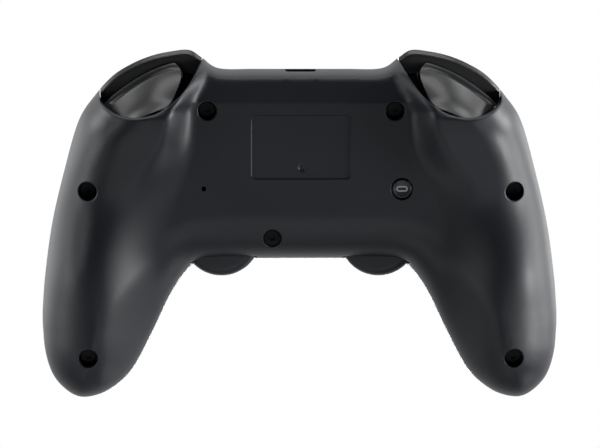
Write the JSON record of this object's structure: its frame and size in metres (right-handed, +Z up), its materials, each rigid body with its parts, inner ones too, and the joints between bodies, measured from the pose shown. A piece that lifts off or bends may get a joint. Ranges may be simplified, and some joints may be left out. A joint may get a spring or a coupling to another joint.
{
  "type": "gamepad controller",
  "caption": "Two-handed gamepad with swept grips, hinged triggers, bumpers, tilting thumbsticks, direction keys, action buttons and a clicking touch pad.",
  "frame": {"origin": "on the table, under the middle of the box round the whole gamepad lying face up", "axes": "+X to the player's right, +Y away from the player towards the triggers, +Z up out of the face"},
  "size_m": [0.16, 0.1071, 0.0481],
  "materials": {
    "shell": "fine-grained satin moulded plastic",
    "trigger_plastic": "smooth semi-gloss moulded plastic",
    "stick_rubber": "matt soft-touch rubber",
    "button_plastic": "semi-gloss moulded plastic",
    "pad_plastic": "finely dotted matt plastic",
    "black_steel": "black oxide steel",
    "steel": "bright drawn steel",
    "weight_metal": "sintered heavy metal",
    "board": "solder-masked glass laminate",
    "mat_rubber": "translucent grey silicone",
    "cell_wrap": "shrink-wrap film",
    "inner_plastic": "plain moulded plastic"
  },
  "bodies": {
    "case": {"rear_housing": "shell", "front_housing": "shell", "housing_screws": "black_steel", "trigger_pins": "steel", "trigger_springs": "steel", "bumper_pins": "steel", "charging_socket": "steel", "left_rumble_motor": "steel", "right_rumble_motor": "steel", "main_board": "board", "key_mat": "mat_rubber", "button_mat": "mat_rubber", "battery": "cell_wrap", "battery_tray": "inner_plastic", "left_trigger_bracket": "inner_plastic", "right_trigger_bracket": "inner_plastic", "left_stick_module": "inner_plastic", "right_stick_module": "inner_plastic", "bumper_switches": "inner_plastic", "board_switches": "inner_plastic", "headset_socket": "inner_plastic"},
    "left_trigger": {"left_trigger": "trigger_plastic"},
    "right_trigger": {"right_trigger": "trigger_plastic"},
    "left_bumper": {"left_bumper": "trigger_plastic"},
    "right_bumper": {"right_bumper": "trigger_plastic"},
    "left_weight": {"left_rumble_weight": "weight_metal"},
    "right_weight": {"right_rumble_weight": "weight_metal"},
    "left_yoke": {"left_stick_yoke": "inner_plastic"},
    "right_yoke": {"right_stick_yoke": "inner_plastic"},
    "left_stick": {"left_stick_shaft": "inner_plastic", "left_thumbstick": "stick_rubber"},
    "right_stick": {"right_stick_shaft": "inner_plastic", "right_thumbstick": "stick_rubber"},
    "touch_pad": {"touch_pad": "pad_plastic"},
    "up_key": {"up_key": "button_plastic"},
    "down_key": {"down_key": "button_plastic"},
    "left_key": {"left_key": "button_plastic"},
    "right_key": {"right_key": "button_plastic"},
    "north_button": {"north_button": "button_plastic"},
    "south_button": {"south_button": "button_plastic"},
    "west_button": {"west_button": "button_plastic"},
    "east_button": {"east_button": "button_plastic"},
    "left_option_button": {"left_option_button": "button_plastic"},
    "right_option_button": {"right_option_button": "button_plastic"},
    "home_button": {"home_button": "button_plastic"},
    "rear_button": {"rear_button": "button_plastic"}
  },
  "joints": [
    {"name": "left_trigger_pull", "type": "hinge", "parent": "case", "child": "left_trigger", "pos_m": [-0.04663, 0.03389, 0.0183], "axis": [-0.9063, -0.4226, 0], "range_deg": [0, 16], "stiffness_Nm_per_rad": 0.15},
    {"name": "left_bumper_click", "type": "hinge", "parent": "case", "child": "left_bumper", "pos_m": [-0.0585, 0.03406, 0.0271], "axis": [0, 0, -1], "range_deg": [0, 1.2], "stiffness_Nm_per_rad": 2},
    {"name": "left_weight_spin", "type": "hinge", "parent": "case", "child": "left_weight", "pos_m": [-0.0625, -0.02795, 0.0146], "axis": [0, 1, 0], "continuous": true},
    {"name": "left_stick_tilt_y", "type": "hinge", "parent": "case", "child": "left_yoke", "pos_m": [-0.0244, -0.00445, 0.0256], "axis": [1, 0, 0], "range_deg": [-18, 18], "stiffness_Nm_per_rad": 0.04},
    {"name": "left_stick_tilt_x", "type": "hinge", "parent": "left_yoke", "child": "left_stick", "pos_m": [-0.0244, -0.00445, 0.0256], "axis": [0, 1, 0], "range_deg": [-18, 18], "stiffness_Nm_per_rad": 0.04},
    {"name": "right_trigger_pull", "type": "hinge", "parent": "case", "child": "right_trigger", "pos_m": [0.04663, 0.03389, 0.0183], "axis": [-0.9063, 0.4226, 0], "range_deg": [0, 16], "stiffness_Nm_per_rad": 0.15},
    {"name": "right_bumper_click", "type": "hinge", "parent": "case", "child": "right_bumper", "pos_m": [0.0585, 0.03406, 0.0271], "axis": [0, 0, 1], "range_deg": [0, 1.2], "stiffness_Nm_per_rad": 2},
    {"name": "right_weight_spin", "type": "hinge", "parent": "case", "child": "right_weight", "pos_m": [0.0625, -0.02795, 0.0146], "axis": [0, 1, 0], "continuous": true},
    {"name": "right_stick_tilt_y", "type": "hinge", "parent": "case", "child": "right_yoke", "pos_m": [0.0244, -0.00445, 0.0256], "axis": [1, 0, 0], "range_deg": [-18, 18], "stiffness_Nm_per_rad": 0.04},
    {"name": "right_stick_tilt_x", "type": "hinge", "parent": "right_yoke", "child": "right_stick", "pos_m": [0.0244, -0.00445, 0.0256], "axis": [0, 1, 0], "range_deg": [-18, 18], "stiffness_Nm_per_rad": 0.04},
    {"name": "up_key_press", "type": "slide", "parent": "case", "child": "up_key", "axis": [0, 0, -1], "range_m": [0, 0.0015], "stiffness_N_per_m": 600},
    {"name": "down_key_press", "type": "slide", "parent": "case", "child": "down_key", "axis": [0, 0, -1], "range_m": [0, 0.0015], "stiffness_N_per_m": 600},
    {"name": "left_key_press", "type": "slide", "parent": "case", "child": "left_key", "axis": [0, 0, -1], "range_m": [0, 0.0015], "stiffness_N_per_m": 600},
    {"name": "right_key_press", "type": "slide", "parent": "case", "child": "right_key", "axis": [0, 0, -1], "range_m": [0, 0.0015], "stiffness_N_per_m": 600},
    {"name": "north_button_press", "type": "slide", "parent": "case", "child": "north_button", "axis": [0, 0, -1], "range_m": [0, 0.0015], "stiffness_N_per_m": 600},
    {"name": "south_button_press", "type": "slide", "parent": "case", "child": "south_button", "axis": [0, 0, -1], "range_m": [0, 0.0015], "stiffness_N_per_m": 600},
    {"name": "west_button_press", "type": "slide", "parent": "case", "child": "west_button", "axis": [0, 0, -1], "range_m": [0, 0.0015], "stiffness_N_per_m": 600},
    {"name": "east_button_press", "type": "slide", "parent": "case", "child": "east_button", "axis": [0, 0, -1], "range_m": [0, 0.0015], "stiffness_N_per_m": 600},
    {"name": "left_option_button_press", "type": "slide", "parent": "case", "child": "left_option_button", "axis": [0, 0, -1], "range_m": [0, 0.0008], "stiffness_N_per_m": 900},
    {"name": "right_option_button_press", "type": "slide", "parent": "case", "child": "right_option_button", "axis": [0, 0, -1], "range_m": [0, 0.0008], "stiffness_N_per_m": 900},
    {"name": "home_button_press", "type": "slide", "parent": "case", "child": "home_button", "axis": [0, 0, -1], "range_m": [0, 0.0008], "stiffness_N_per_m": 900},
    {"name": "touch_pad_click", "type": "hinge", "parent": "case", "child": "touch_pad", "pos_m": [0, 0.03705, 0.0325], "axis": [1, 0, 0], "range_deg": [0, 1.2], "stiffness_Nm_per_rad": 6},
    {"name": "rear_button_press", "type": "slide", "parent": "case", "child": "rear_button", "axis": [0, 0, 1], "range_m": [0, 0.0005], "stiffness_N_per_m": 900}
  ]
}
